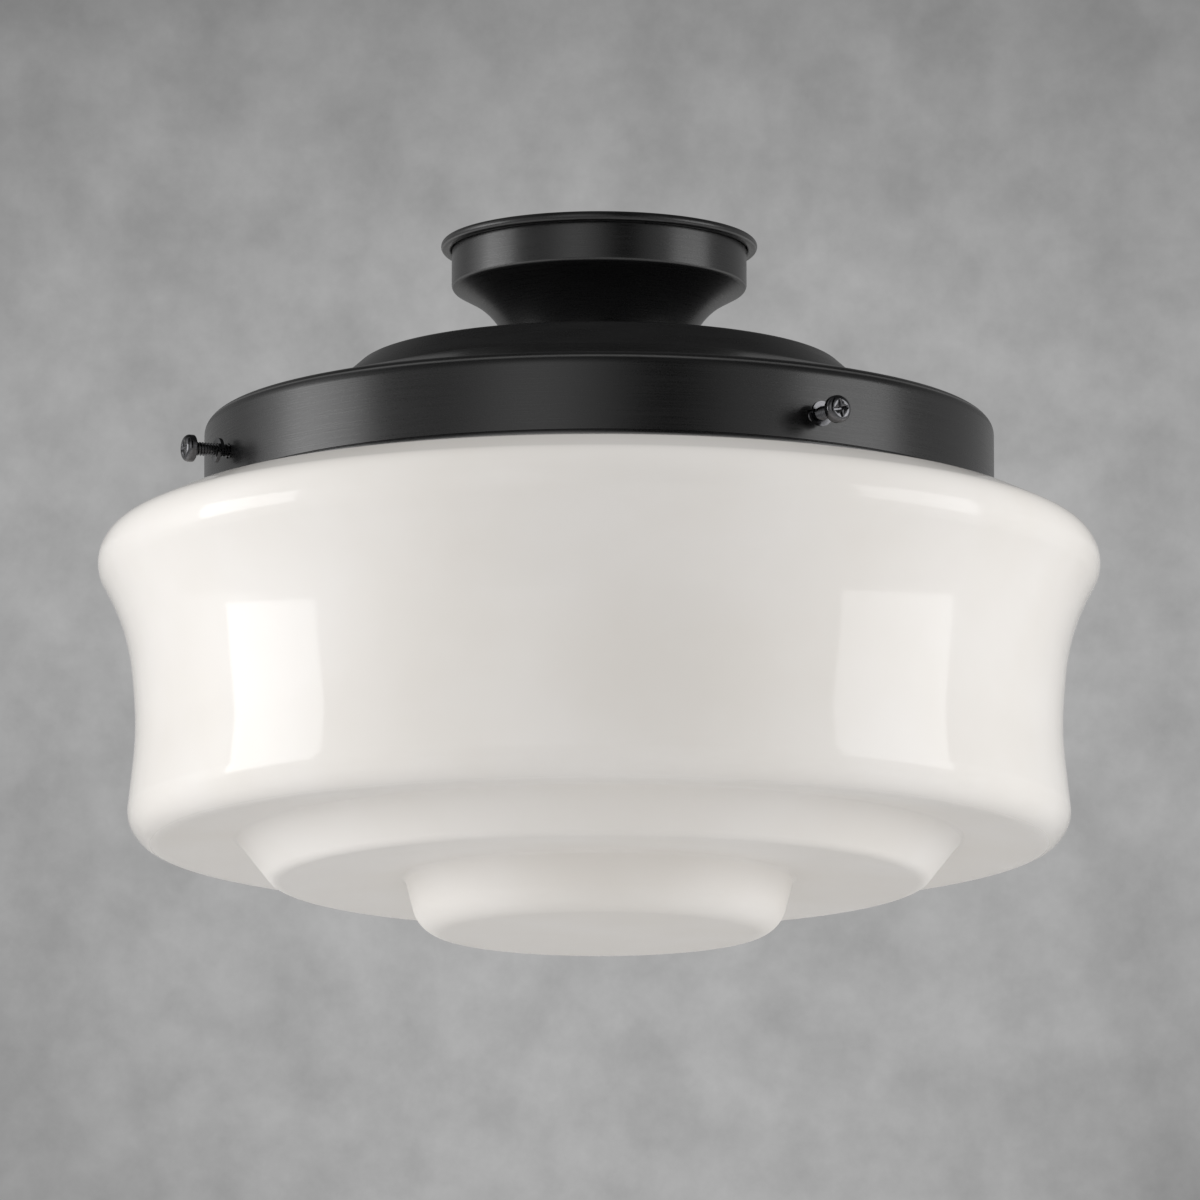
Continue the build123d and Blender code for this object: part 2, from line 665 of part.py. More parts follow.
# ---- bulbs -------------------------------------------------------------------------------------
for number, x in enumerate((-socket_x, socket_x), 1):
    with BuildPart() as bulb_contact:
        with BuildSketch(meridian(x)):
            with BuildLine():
                FilletPolyline((0, bulb_tip_z), (tip_r, bulb_tip_z), (tip_r, bulb_tip_z - tip_height),
                               (0, bulb_tip_z - tip_height), radius=[0, tip_fillet, 0, 0], close=True)
            make_face()
        revolve(axis=upright(x))
    bulb_contact.part.label = f"bulb_contact_{number}"
    export_step(bulb_contact.part, f"parts/bulb_contact_{number}.step")

    cone_z = bulb_tip_z - tip_height
    base_top_z = cone_z - insulator_height
    with BuildPart() as bulb_insulator:
        with BuildSketch(meridian(x)):
            with BuildLine():
                plug_z = base_top_z - insulator_plug
                Polyline((0, cone_z), (tip_r + snug, cone_z), (insulator_r, base_top_z),
                         (insulator_r, plug_z), (0, plug_z), close=True)
            make_face()
        revolve(axis=upright(x))
    bulb_insulator.part.label = f"bulb_insulator_{number}"
    export_step(bulb_insulator.part, f"parts/bulb_insulator_{number}.step")

    thread_nodes = []
    for turn in range(base_turns):
        at = bulb_tip_z - base_thread_start - turn * base_pitch
        thread_nodes += [
            (base_root_r, at),
            (base_crest_r, at - base_crest_start * base_pitch),
            (base_crest_r, at - base_crest_end * base_pitch),
            (base_root_r, at - base_ridge_end * base_pitch),
        ]
    collar_z = bulb_tip_z - base_thread_start - base_turns * base_pitch - base_collar_gap
    with BuildPart() as bulb_base:
        with BuildSketch(meridian(x)):
            with BuildLine():
                nodes = [
                    (insulator_r + snug, base_top_z),
                    *thread_nodes,
                    (base_crest_r, collar_z),
                    (base_crest_r, bulb_tip_z - base_end),
                    (base_bore_r, bulb_tip_z - base_end),
                    (base_bore_r, plug_z),
                    (insulator_r + snug, plug_z),
                ]
                smooth = [0] + [base_ridge_fillet] * len(thread_nodes) + [base_ridge_fillet] + [0] * 4
                FilletPolyline(*nodes, radius=smooth, close=True)
            make_face()
        revolve(axis=upright(x))
    bulb_base.part.label = f"bulb_base_{number}"
    export_step(bulb_base.part, f"parts/bulb_base_{number}.step")

    with BuildPart() as bulb_housing:
        with BuildSketch(meridian(x)):
            with BuildLine():
                rim_z = bulb_tip_z - housing_end
                board_z = rim_z + led_board_thickness
                FilletPolyline(
                    (housing_plug_r, bulb_tip_z - housing_plug_start),
                    (housing_plug_r, bulb_tip_z - base_end),
                    (housing_neck_r, bulb_tip_z - base_end),
                    (housing_flare_r, bulb_tip_z - housing_flare_end),
                    (housing_rim_r, rim_z),
                    (housing_rim_r - housing_wall, rim_z),
                    (housing_rim_r - housing_wall, board_z),
                    (housing_rim_r - 2 * housing_wall, board_z),
                    (housing_flare_r - housing_wall, bulb_tip_z - housing_flare_end),
                    (housing_bore_r, bulb_tip_z - base_end),
                    (housing_bore_r, bulb_tip_z - housing_plug_start),
                    radius=[0, 0, 0, housing_flare_fillet, 0, 0, 0, 0,
                            housing_inner_fillet, housing_bore_fillet, 0],
                    close=True,
                )
            make_face()
        revolve(axis=upright(x))
    bulb_housing.part.label = f"bulb_housing_{number}"
    export_step(bulb_housing.part, f"parts/bulb_housing_{number}.step")

    with BuildPart() as led_board:
        with BuildSketch(Plane.XY.offset(rim_z)):
            with Locations((x, 0)):
                Circle(housing_rim_r - housing_wall - snug)
        extrude(amount=led_board_thickness)
    led_board.part.label = f"led_board_{number}"
    export_step(led_board.part, f"parts/led_board_{number}.step")

    with BuildPart() as bulb_globe:
        with BuildSketch(meridian(x)):
            with BuildLine():
                globe_points = [
                    (housing_rim_r, rim_z),
                    (globe_r, bulb_tip_z - globe_end),
                    (0, bulb_tip_z - globe_end),
                ]
                outline, fillets = sheet_outline(globe_points, [globe_fillet], globe_wall)
                FilletPolyline(*outline, radius=fillets, close=True)
            make_face()
        revolve(axis=upright(x))
    bulb_globe.part.label = f"bulb_globe_{number}"
    export_step(bulb_globe.part, f"parts/bulb_globe_{number}.step")

# ---- shade screws with their weld nuts, swivel pads and spring washers -------------------------
screw_turns = int((screw_length - screw_lead_in - screw_pitch) / screw_pitch)
for number, angle in enumerate(shade_screw_angles, 1):
    with BuildPart() as weld_nut:
        with BuildSketch(across_screw(angle, weld_nut_face_r)):
            RegularPolygon(weld_nut_r, 6)
            Circle(screw_major_r + snug, mode=Mode.SUBTRACT)
        extrude(amount=weld_nut_seat + sheet)
        with Locations((0, 0, shade_screw_z)):
            Cylinder(band_r - sheet - weld_gap, weld_trim_height, mode=Mode.INTERSECT)
    weld_nut.part.label = f"weld_nut_{number}"
    export_step(weld_nut.part, f"parts/weld_nut_{number}.step")

    with BuildPart() as shade_screw:
        with BuildSketch(along_screw(angle, screw_end_r)):
            with BuildLine():
                Polyline(
                    (pad_stem_length + snug, 0),
                    (pad_stem_length + snug, pad_stem_r + snug),
                    (0, pad_stem_r + snug),
                    (0, screw_root_r),
                    *ridges(screw_lead_in, screw_turns, screw_pitch, screw_root_r, screw_major_r),
                    (screw_length, screw_root_r),
                    (screw_length, 0),
                    close=True,
                )
            make_face()
            with BuildLine():
                FilletPolyline(
                    (screw_length, 0),
                    (screw_length, screw_head_r),
                    (screw_length + screw_head_height, screw_head_r),
                    (screw_length + screw_head_height, 0),
                    radius=[0, screw_head_foot, screw_head_edge, 0],
                    close=True,
                )
            make_face()
        revolve(axis=screw_axis(angle))
        for wing in (0, 90):
            with BuildSketch(across_screw(angle, screw_head_seat_r + screw_head_height)):
                Rectangle(recess_length, recess_width, rotation=recess_turn_angle + wing)
            extrude(amount=-recess_depth, taper=recess_taper_angle, mode=Mode.SUBTRACT)
    shade_screw.part.label = f"shade_screw_{number}"
    export_step(shade_screw.part, f"parts/shade_screw_{number}.step")

    with BuildPart() as screw_pad:
        with BuildSketch(along_screw(angle, pad_face_r)):
            with BuildLine():
                FilletPolyline(
                    (0, 0),
                    (0, pad_r),
                    (pad_thickness, pad_r),
                    (pad_thickness, pad_stem_r),
                    (pad_thickness + pad_stem_length, pad_stem_r),
                    (pad_thickness + pad_stem_length, 0),
                    radius=[0, pad_edge, 0, 0, pad_edge / 2, 0],
                    close=True,
                )
            make_face()
        revolve(axis=screw_axis(angle))
    screw_pad.part.label = f"screw_pad_{number}"
    export_step(screw_pad.part, f"parts/screw_pad_{number}.step")

    with BuildPart() as lock_washer:
        mean_r = (washer_bore_r + washer_r) / 2
        with BuildLine() as turn:
            Helix(washer_rise, washer_rise * washer_turn_share, mean_r, direction=outward(angle),
                  center=screw_start(angle, band_r + washer_stand - washer_rise / 2))
        with BuildSketch(Plane(origin=turn.line @ 0, x_dir=outward(angle), z_dir=turn.line % 0)):
            Rectangle(washer_thickness, washer_r - washer_bore_r)
        sweep(is_frenet=True)
    lock_washer.part.label = f"lock_washer_{number}"
    export_step(lock_washer.part, f"parts/lock_washer_{number}.step")

# ---- glass shade -------------------------------------------------------------------------------
lip_r = neck_r + lip_proud
neck_foot_z = hem_z - hem_r - neck_foot_gap
profile_steps = [
    (seat_reach, -seat_fall),
    (bulge_reach, -bulge_fall),
    (-waist_top_inset, -waist_top_fall),
    (-waist_low_inset, -waist_low_fall),
    (foot_flare, -foot_fall),
    (-step_one_inset, step_one_rise),
    (-tier_one_inset, -tier_one_fall),
    (-step_two_inset, step_two_rise),
    (-tier_two_inset, -tier_two_fall),
]
glass_points = [(neck_r, lip_under_z + lip_height / 2), (neck_r, neck_foot_z)]
for reach, rise in profile_steps:
    last_r, last_z = glass_points[-1]
    glass_points.append((last_r + reach, last_z + rise))
glass_points.append((0, glass_points[-1][1] - bottom_fall))
glass_fillets = [
    neck_foot_fillet, seat_fillet, bulge_fillet, waist_top_fillet, waist_low_fillet, foot_fillet,
    step_fillet, tier_one_fillet, step_fillet, tier_two_fillet,
]
with BuildPart() as glass_shade:
    with BuildSketch(Plane.XZ):
        with BuildLine():
            outline, fillets = sheet_outline(glass_points, glass_fillets, glass_wall)
            FilletPolyline(*outline, radius=fillets, close=True)
        make_face()
        lip_width = lip_r - neck_r + glass_wall
        with Locations((lip_r - lip_width / 2, lip_under_z + lip_height / 2)):
            RectangleRounded(lip_width, lip_height, lip_edge)
    revolve(axis=Axis.Z)
glass_shade.part.label = "glass_shade"
export_step(glass_shade.part, "parts/glass_shade.step")
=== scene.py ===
import json
from math import cos, hypot, pi, radians, sin, tan

import bmesh
import bpy
from mathutils import Matrix, Vector

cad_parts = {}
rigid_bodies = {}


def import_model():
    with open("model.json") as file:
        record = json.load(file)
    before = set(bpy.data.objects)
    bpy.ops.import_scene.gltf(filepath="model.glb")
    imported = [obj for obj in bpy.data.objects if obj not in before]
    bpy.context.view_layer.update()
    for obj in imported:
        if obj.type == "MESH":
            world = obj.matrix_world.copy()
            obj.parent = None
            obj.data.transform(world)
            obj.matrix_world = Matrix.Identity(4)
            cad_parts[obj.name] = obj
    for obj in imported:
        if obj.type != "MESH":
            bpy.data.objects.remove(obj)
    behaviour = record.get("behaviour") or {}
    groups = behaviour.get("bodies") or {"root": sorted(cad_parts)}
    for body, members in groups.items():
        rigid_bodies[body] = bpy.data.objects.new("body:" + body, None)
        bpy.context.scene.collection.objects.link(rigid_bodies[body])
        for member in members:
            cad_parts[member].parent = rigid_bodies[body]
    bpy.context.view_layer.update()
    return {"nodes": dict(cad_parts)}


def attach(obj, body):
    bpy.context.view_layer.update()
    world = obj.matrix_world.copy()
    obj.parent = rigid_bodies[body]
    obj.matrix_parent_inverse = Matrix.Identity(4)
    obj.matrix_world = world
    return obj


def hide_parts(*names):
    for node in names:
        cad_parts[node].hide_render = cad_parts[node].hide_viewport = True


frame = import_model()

bpy.ops.object.select_all(action="DESELECT")
print("frame loaded:", len(frame["nodes"]), "nodes")

# camera: low and far away, looking up at the light with a long lens
camera = {"aimX": 0.0003, "aimZ": -0.1292, "distance": 3.862, "down": 9.8, "view": 6.30,
          "sensor": 36, "farClip": 60}


def placeCamera():
    aim = Vector((camera["aimX"], 0, camera["aimZ"]))
    down = radians(camera["down"])
    back = Vector((0, -cos(down), -sin(down)))
    bpy.ops.object.camera_add(location=aim + back * camera["distance"])
    cam = bpy.context.object
    cam.rotation_euler = (-back).to_track_quat("-Z", "Y").to_euler()
    cam.data.sensor_width = camera["sensor"]
    cam.data.lens = camera["sensor"] / 2 / tan(radians(camera["view"] / 2))
    cam.data.clip_end = camera["farClip"]
    bpy.context.scene.camera = cam


placeCamera()
print("camera placed")


class Wire:
    # a shader socket that plain Python sums work on
    def __init__(self, sheet, socket):
        self.sheet, self.socket = sheet, socket

    def reckon(self, operation, first, second=0.0):
        return self.sheet.node("ShaderNodeMath", {"operation": operation}, {0: first, 1: second})

    def __add__(self, other):
        return self.reckon("ADD", self, other)

    def __radd__(self, other):
        return self.reckon("ADD", other, self)

    def __sub__(self, other):
        return self.reckon("SUBTRACT", self, other)

    def __rsub__(self, other):
        return self.reckon("SUBTRACT", other, self)

    def __mul__(self, other):
        return self.reckon("MULTIPLY", self, other)

    def __rmul__(self, other):
        return self.reckon("MULTIPLY", other, self)

    def __truediv__(self, other):
        return self.reckon("DIVIDE", self, other)

    def __gt__(self, other):
        return self.reckon("GREATER_THAN", self, other)

    def __lt__(self, other):
        return self.reckon("LESS_THAN", self, other)

    def only(self, name):
        return self.reckon(name, self)


class Finish:
    # one material, built node by node
    def __init__(self, name, owner=None):
        self.owner = owner or bpy.data.materials.new(name)
        self.owner.use_nodes = True
        self.tree = self.owner.node_tree
        self.tree.nodes.clear()

    def node(self, kind, settings=None, sockets=None, out=0):
        made = self.tree.nodes.new(kind)
        for key, value in (settings or {}).items():
            setattr(made, key, value)
        for key, value in (sockets or {}).items():
            if isinstance(value, Wire):
                self.tree.links.new(value.socket, made.inputs[key])
            else:
                made.inputs[key].default_value = value
        return Wire(self, made.outputs[out]) if made.outputs else None

    def place(self, centre=(0, 0, 0)):
        # x, y and z in metres, counted from a centre
        spot = self.node("ShaderNodeTexCoord", out=3)
        moved = self.node("ShaderNodeVectorMath", {"operation": "SUBTRACT"}, {0: spot, 1: centre})
        return moved, [self.node("ShaderNodeSeparateXYZ", sockets={0: moved}, out=i) for i in range(3)]

    def vector(self, x, y, z):
        return self.node("ShaderNodeCombineXYZ", sockets={0: x, 1: y, 2: z})

    def grain(self, vector, scale, detail=2.0, rough=0.5):
        return self.node("ShaderNodeTexNoise",
                         sockets={"Vector": vector, "Scale": scale, "Detail": detail, "Roughness": rough})

    def cells(self, vector, scale):
        return self.node("ShaderNodeTexVoronoi", sockets={"Vector": vector, "Scale": scale})

    def mix(self, share, first, second):
        return self.node("ShaderNodeMix", {"data_type": "RGBA", "clamp_factor": True},
                         {0: share, 6: first, 7: second}, out=2)

    def band(self, value, low, high, start=0.0, end=1.0):
        return self.node("ShaderNodeMapRange", {"clamp": True},
                         {"Value": value, "From Min": low, "From Max": high, "To Min": start, "To Max": end})

    def span(self, x, y, tiny=1e-8):
        # how far two steps at a right angle reach, never quite nought
        return (x * x + y * y + tiny).only("SQRT")

    def bump(self, height, depth, strength):
        return self.node("ShaderNodeBump", sockets={"Height": height, "Distance": depth, "Strength": strength})

    def surface(self, colour, rough, metal, normal, **rest):
        sockets = {"Base Color": colour, "Roughness": rough, "Metallic": metal, "Normal": normal, **rest}
        shader = self.node("ShaderNodeBsdfPrincipled", sockets=sockets)
        self.node("ShaderNodeOutputMaterial", sockets={"Surface": shader})
        return self.owner


def rgb(red, green, blue):
    return (red, green, blue, 1.0)


def grey(tone):
    return rgb(tone, tone, tone)


# the stretch in which a noise is read: the close cut gives more contrast
closeCut, wideCut = (0.35, 0.65), (0.3, 0.7)


def aroundAxis(sheet, length, fine):
    # streaks that run round a turned piece: slow round its axis, fast along its profile
    spot, (x, y, z) = sheet.place()
    away = sheet.span(x, y)
    return spot, away, z, sheet.vector(x / away * length, y / away * length, (z + away) * fine)


# satin black enamel over spun metal, with lighter rings painted along its turned edges: painted highlight for the
# glint of each rounded corner, partly worn bare metal
# each painted highlight ring is a ring's (reach, height, width) in metres and how strong it is
satinBlack = {
    "dark": (0.004, 0.004, 0.00416), "light": (0.010, 0.010, 0.0103), "smooth": 0.22, "rough": 0.36,
    "gloss": 1.64, "speckScale": 2600.0, "cloudScale": 26.0,
    "streakLength": 3.0, "streakFine": 2500.0, "streakDepth": 1e-5, "bump": 0.6,
    # the painted highlight rings: their tone, how much they show, and how even and how patchy they are
    "wornGlintTone": 0.28, "wornGlintShare": 0.8, "wornGlintEven": 0.4, "wornGlintPatchy": 1.2,
    "wornGlints": [(0.0519, -0.0163, 0.0006, 1.0), (0.1391, -0.0682, 0.0007, 0.35), (0.1402, -0.0957, 0.0008, 1.0),
             (0.0846, -0.0460, 0.0006, 0.5), (0.0562, -0.0030, 0.0006, 0.9)],
}


def makeSatinBlack():
    look = satinBlack
    sheet = Finish("satinBlack")
    spot, away, z, turned = aroundAxis(sheet, look["streakLength"], look["streakFine"])
    streak = sheet.grain(turned, 1.0, detail=4.0, rough=0.6)
    speck = sheet.grain(spot, look["speckScale"], rough=0.6)
    cloud = sheet.grain(spot, look["cloudScale"], detail=3.0)
    tone = sheet.band(streak * 0.5 + speck * 0.3 + cloud * 0.2, *closeCut)
    colour = sheet.mix(tone, rgb(*look["dark"]), rgb(*look["light"]))
    # painted highlight: light grey rings on the turned edges stand in for their glints, with some wear to bare
    # metal
    wornGlint = 0.0
    for reach, height, width, bare in look["wornGlints"]:
        off = sheet.span(away - reach, z - height, tiny=1e-12)
        wornGlint = sheet.band(off, 0.0, width, bare, 0.0) + wornGlint
    wornGlint = sheet.band(wornGlint * (look["wornGlintEven"] + streak * look["wornGlintPatchy"]), 0.0, 1.0, 0.0, look["wornGlintShare"])
    colour = sheet.mix(wornGlint, colour, grey(look["wornGlintTone"]))
    rough = sheet.band(streak * 0.4 + speck * 0.4 + cloud * 0.2, *wideCut, look["smooth"], look["rough"])
    normal = sheet.bump(streak * 0.5 + speck * 0.5, look["streakDepth"], look["bump"])
    return sheet.surface(colour, rough, 0.0, normal, IOR=look["gloss"])


# opal glass: milky body, its wall fire-polished and its stepped bottom left satin; seeds are tiny bubbles
opalGlass = {
    "milk": (0.83, 0.797, 0.757), "cloud": (0.86, 0.832, 0.802), "cloudScale": 14.0,
    "smooth": 0.045, "rough": 0.085, "gloss": 1.42,
    "waveScale": 9.0, "waveStretch": 0.5, "waveDepth": 6e-5, "bump": 0.5,
    "seedTone": (0.6, 0.59, 0.56), "seedScale": 160.0, "seedSize": 0.035, "seedShare": 0.05,
    "satin": 0.46, "satinFrom": -0.2115, "satinTo": -0.2138, "satinReach": 0.163, "satinEdge": 0.010,
}


def makeOpalGlass():
    look = opalGlass
    sheet = Finish("opalGlass")
    spot, (x, y, z) = sheet.place()
    cloud = sheet.grain(spot, look["cloudScale"], detail=3.0, rough=0.55)
    wave = sheet.grain(sheet.vector(x, y, z * look["waveStretch"]), look["waveScale"], detail=1.0, rough=0.3)
    seed = sheet.band(sheet.cells(spot, look["seedScale"]), 0.0, look["seedSize"], 1.0, 0.0)
    colour = sheet.mix(sheet.band(cloud, *closeCut), rgb(*look["milk"]), rgb(*look["cloud"]))
    colour = sheet.mix(seed * look["seedShare"], colour, rgb(*look["seedTone"]))
    under = sheet.band(z, look["satinTo"], look["satinFrom"], 1.0, 0.0)
    within = sheet.band(sheet.span(x, y), look["satinReach"] - look["satinEdge"], look["satinReach"], 1.0, 0.0)
    rough = sheet.band(cloud, *wideCut, look["smooth"], look["rough"]) + under * within * look["satin"]
    normal = sheet.bump(wave, look["waveDepth"], look["bump"])
    return sheet.surface(colour, rough, 0.0, normal, IOR=look["gloss"])


# bright plated or plain metals: dark and light tone, roughness from and to, and how fine the grain is
metals = {
    "blackNickel": ((0.09, 0.09, 0.094), (0.19, 0.19, 0.2), (0.08, 0.2), 420.0),
    "zincSteel": ((0.42, 0.43, 0.45), (0.66, 0.66, 0.62), (0.24, 0.42), 210.0),
    "brass": ((0.55, 0.38, 0.15), (0.83, 0.63, 0.3), (0.2, 0.38), 260.0),
    "greenPlating": ((0.02, 0.16, 0.05), (0.06, 0.32, 0.11), (0.25, 0.4), 300.0),
    "nickelBase": ((0.55, 0.55, 0.53), (0.78, 0.78, 0.76), (0.2, 0.36), 240.0),
    "solder": ((0.38, 0.38, 0.4), (0.62, 0.62, 0.63), (0.3, 0.5), 500.0),
}
metalGrain = {"stain": 0.3, "grit": 9, "draw": 7, "drawStretch": 0.15, "depth": 4e-6, "bump": 0.5}


def makeMetal(name):
    dark, light, roughness, scale = metals[name]
    sheet = Finish(name)
    spot, (x, y, z) = sheet.place()
    stain = sheet.grain(spot, scale * metalGrain["stain"], detail=3.0, rough=0.6)
    grit = sheet.grain(spot, scale * metalGrain["grit"], rough=0.6)
    draw = sheet.grain(sheet.vector(x * metalGrain["drawStretch"], y, z), scale * metalGrain["draw"])
    colour = sheet.mix(sheet.band(stain * 0.6 + draw * 0.4, *closeCut), rgb(*dark), rgb(*light))
    rough = sheet.band(stain * 0.5 + grit * 0.5, *wideCut, *roughness)
    normal = sheet.bump(draw * 0.6 + grit * 0.4, metalGrain["depth"], metalGrain["bump"])
    return sheet.surface(colour, rough, 1.0, normal)


# moulded, glazed and drawn pieces that aren't metal: the same, and the depth of the grain in metres
bodies = {
    "ceramic": ((0.74, 0.72, 0.66), (0.83, 0.82, 0.78), (0.08, 0.2), 60.0, 5e-5),
    "blockPlastic": ((0.76, 0.76, 0.73), (0.82, 0.82, 0.8), (0.26, 0.36), 900.0, 1e-5),
    "blackLead": ((0.018, 0.018, 0.019), (0.035, 0.035, 0.036), (0.35, 0.5), 700.0, 1e-5),
    "whiteLead": ((0.72, 0.71, 0.68), (0.82, 0.81, 0.79), (0.35, 0.5), 700.0, 1e-5),
    "nylon": ((0.62, 0.6, 0.52), (0.76, 0.74, 0.67), (0.4, 0.55), 500.0, 1e-5),
    "blackInsulator": ((0.012, 0.012, 0.014), (0.03, 0.03, 0.033), (0.08, 0.22), 300.0, 1e-5),
    "whiteHousing": ((0.78, 0.78, 0.76), (0.84, 0.84, 0.83), (0.28, 0.38), 800.0, 8e-6),
    "frostedGlobe": ((0.8, 0.8, 0.77), (0.87, 0.87, 0.85), (0.42, 0.55), 1500.0, 6e-6),
}
bodyGrain = {"broad": 0.2, "fine": 3, "bump": 0.5}


def makeBody(name):
    dark, light, roughness, scale, depth = bodies[name]
    sheet = Finish(name)
    spot, _ = sheet.place()
    broad = sheet.grain(spot, scale * bodyGrain["broad"], detail=3.0, rough=0.55)
    fine = sheet.grain(spot, scale * bodyGrain["fine"], rough=0.55)
    colour = sheet.mix(sheet.band(broad * 0.7 + fine * 0.3, *closeCut), rgb(*dark), rgb(*light))
    rough = sheet.band(fine * 0.5 + broad * 0.5, *wideCut, *roughness)
    return sheet.surface(colour, rough, 0.0, sheet.bump(fine * 0.6 + broad * 0.4, depth, bodyGrain["bump"]))


# white board with a ring of yellow light chips; its centre is this far left or right of the light's
ledBoard = {
    "centreX": 0.048, "mask": (0.82, 0.82, 0.8), "maskDark": (0.7, 0.7, 0.68), "maskShare": 0.15,
    "chip": (0.85, 0.62, 0.08), "count": 10, "ring": 0.017, "width": 0.0034, "chipGloss": 0.12,
    "smooth": 0.3, "rough": 0.42, "grain": 2200.0, "grainShare": 0.05, "depth": 3e-4, "bump": 0.6,
}


def makeLedBoard(name, centreX):
    look = ledBoard
    sheet = Finish(name)
    spot, (x, y, _) = sheet.place((centreX, 0, 0))
    away = sheet.span(x, y)
    turn = sheet.node("ShaderNodeMath", {"operation": "ARCTAN2"}, {0: y, 1: x})
    step, half = 2 * pi / look["count"], look["width"] / 2
    across = sheet.node("ShaderNodeMath", {"operation": "PINGPONG"}, {0: turn + pi, 1: step / 2}) * away
    chip = ((away - look["ring"]).only("ABSOLUTE") < half) * (across < half)
    grit = sheet.grain(spot, look["grain"], rough=0.6)
    mask = sheet.mix(grit * look["maskShare"], rgb(*look["mask"]), rgb(*look["maskDark"]))
    colour = sheet.mix(chip, mask, rgb(*look["chip"]))
    rough = sheet.band(grit, *wideCut, look["smooth"], look["rough"]) - chip * look["chipGloss"]
    normal = sheet.bump(chip + grit * look["grainShare"], look["depth"], look["bump"])
    return sheet.surface(colour, rough, 0.0, normal)


finishes = {
    "satinBlack": makeSatinBlack(),
    "opalGlass": makeOpalGlass(),
    **{name: makeMetal(name) for name in metals},
    **{name: makeBody(name) for name in bodies},
    "ledBoardLeft": makeLedBoard("ledBoardLeft", -ledBoard["centreX"]),
    "ledBoardRight": makeLedBoard("ledBoardRight", ledBoard["centreX"]),
}
nodeFinish = {
    "satinBlack": ["canopy", "fitter_pan", "weld_nut_1", "weld_nut_2", "weld_nut_3"],
    "opalGlass": ["glass_shade"],
    "blackNickel": ["shade_screw_1", "shade_screw_2", "shade_screw_3",
                    "lock_washer_1", "lock_washer_2", "lock_washer_3"],
    "zincSteel": ["crossbar", "crossbar_nut", "nipple", "clamp_washer", "clamp_nut",
                  "socket_bracket", "socket_screws"],
    "brass": ["screw_shell_1", "screw_shell_2", "centre_contact_1", "centre_contact_2",
              "terminal_screws", "block_screw"],
    "greenPlating": ["ground_screw"],
    "nickelBase": ["bulb_base_1", "bulb_base_2"],
    "solder": ["bulb_contact_1", "bulb_contact_2"],
    "ceramic": ["socket_body_1", "socket_body_2"],
    "blockPlastic": ["terminal_block"],
    "blackLead": ["lead_hot_1", "lead_hot_2"],
    "whiteLead": ["lead_neutral_1", "lead_neutral_2"],
    "nylon": ["screw_pad_1", "screw_pad_2", "screw_pad_3"],
    "blackInsulator": ["bulb_insulator_1", "bulb_insulator_2"],
    "whiteHousing": ["bulb_housing_1", "bulb_housing_2"],
    "frostedGlobe": ["bulb_globe_1", "bulb_globe_2"],
    "ledBoardLeft": ["led_board_1"],
    "ledBoardRight": ["led_board_2"],
}


def dressNodes():
    for finish, names in nodeFinish.items():
        for name in names:
            mesh = frame["nodes"][name].data
            mesh.materials.clear()
            mesh.materials.append(finishes[finish])
    bare = set(frame["nodes"]) - {name for names in nodeFinish.values() for name in names}
    print("finishes on", len(frame["nodes"]) - len(bare), "nodes, bare:", sorted(bare))


dressNodes()


def pickPoints(spots, near=1e-6):
    # in edit mode: selects only the points that lie at these places
    mesh = bmesh.from_edit_mesh(bpy.context.object.data)
    for point in mesh.verts:
        point.select = any((point.co - spot).length < near for spot in spots)
    mesh.select_flush_mode()
    bmesh.update_edit_mesh(bpy.context.object.data)


def drawChain(name, outline, loop):
    # leaves edit mode open on a chain of edges in the xz plane; millimetres in
    bpy.ops.object.select_all(action="DESELECT")
    bpy.ops.mesh.primitive_plane_add(size=0.001)
    bpy.context.object.name = name
    bpy.ops.object.mode_set(mode="EDIT")
    bpy.ops.mesh.select_mode(type="VERT")
    bpy.ops.mesh.select_all(action="SELECT")
    bpy.ops.mesh.merge(type="CENTER")
    spots = [Vector((reach, 0, height)) / 1000 for reach, height in outline]
    bpy.ops.transform.translate(value=spots[0])
    for before, after in zip(spots, spots[1:]):
        bpy.ops.mesh.extrude_region_move(TRANSFORM_OT_translate={"value": after - before})
    if loop:
        pickPoints([spots[0], spots[-1]])
        bpy.ops.mesh.edge_face_add()


def closeMesh(sharp=32):
    # merges doubles, turns all faces outwards and leaves edit mode
    bpy.ops.mesh.select_all(action="SELECT")
    bpy.ops.mesh.remove_doubles(threshold=1e-6)
    bpy.ops.mesh.normals_make_consistent(inside=False)
    bpy.ops.object.mode_set(mode="OBJECT")
    bpy.ops.object.shade_smooth_by_angle(angle=radians(sharp))
    return bpy.context.object


def roundCorner(before, here, after, radius, arcStep):
    # the points of an arc that rounds the corner between two straight runs
    into, out = (here - before).normalized(), (after - here).normalized()
    turn = into.angle(out)
    centre = here + (out - into).normalized() * radius / cos(turn / 2)
    start = here - into * radius * tan(turn / 2) - centre
    parts = max(2, round(turn / radians(arcStep)))
    way = 1 if into.cross(out) > 0 else -1
    return [centre + Matrix.Rotation(way * turn * part / parts, 2) @ start for part in range(parts + 1)]


def turnPiece(name, corners, loop=True, steps=192, arcStep=6.0):
    # spins a section of (reach, height, corner radius) round z
    spots = [Vector(corner[:2]) for corner in corners]
    outline = []
    for place, (_, _, radius) in enumerate(corners):
        here, after = spots[place], spots[(place + 1) % len(spots)]
        outline += roundCorner(spots[place - 1], here, after, radius, arcStep) if radius else [here]
    drawChain(name, outline, loop)
    bpy.ops.mesh.select_all(action="SELECT")
    bpy.ops.mesh.spin(steps=steps, angle=2 * pi, center=(0, 0, 0), axis=(0, 0, 1))
    return closeMesh()


